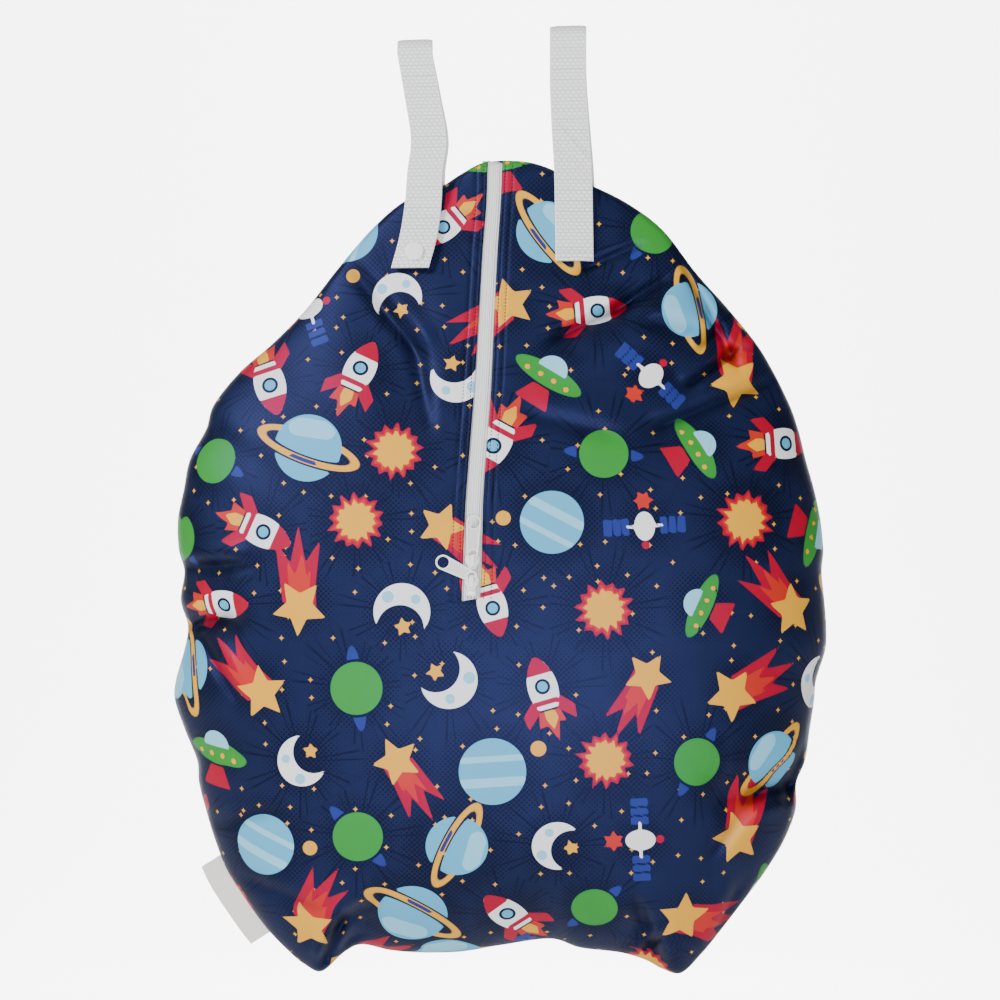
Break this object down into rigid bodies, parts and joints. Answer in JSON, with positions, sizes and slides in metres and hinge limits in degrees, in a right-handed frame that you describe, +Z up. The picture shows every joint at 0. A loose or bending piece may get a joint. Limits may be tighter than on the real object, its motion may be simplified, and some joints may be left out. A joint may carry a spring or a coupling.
{
  "type": "hanging cloth diaper wet bag",
  "caption": "Pear-shaped cloth wet bag hanging from two webbing loops, one with a press stud, with a coil zip down the front, two sliders with pulls and a blank side label.",
  "frame": {"origin": "the point on a rail midway between the two loops, where the rail bears in their turns", "axes": "+Z up, +X to the right as seen from the front, the zip side faces -Y"},
  "size_m": [0.43, 0.1558, 0.6252],
  "materials": {
    "printed_cloth": "smooth laminated knit with a soft sheen, printed on a navy ground",
    "zip_white": "white woven tape and nylon coil",
    "white_plastic": "white enamelled, satin",
    "webbing": "white basket-weave webbing",
    "stud_white": "white moulded plastic, glossy",
    "label_cloth": "white satin ribbon"
  },
  "bodies": {
    "bag": {"front_panel": "printed_cloth", "back_panel": "printed_cloth", "zip_tape": "zip_white", "zip_coil": "zip_white", "upper_slider": "white_plastic", "lower_slider": "white_plastic", "bottom_stop": "white_plastic", "left_loop": "webbing", "right_loop": "webbing", "stud_cap": "stud_white", "stud_socket": "stud_white", "stud_base": "stud_white", "side_label": "label_cloth"},
    "upper_pull": {"upper_pull": "white_plastic"},
    "lower_pull": {"lower_pull": "white_plastic"}
  },
  "joints": [
    {"name": "upper_pull_flip", "type": "hinge", "parent": "bag", "child": "upper_pull", "pos_m": [-0.01223, -0.07375, -0.34499], "axis": [0.9992, -0.0228, -0.033], "range_deg": [0, 130]},
    {"name": "lower_pull_swing", "type": "hinge", "parent": "bag", "child": "lower_pull", "pos_m": [-0.01266, -0.07515, -0.35626], "axis": [-0.0179, -0.9944, 0.1045], "range_deg": [0, 60]}
  ]
}
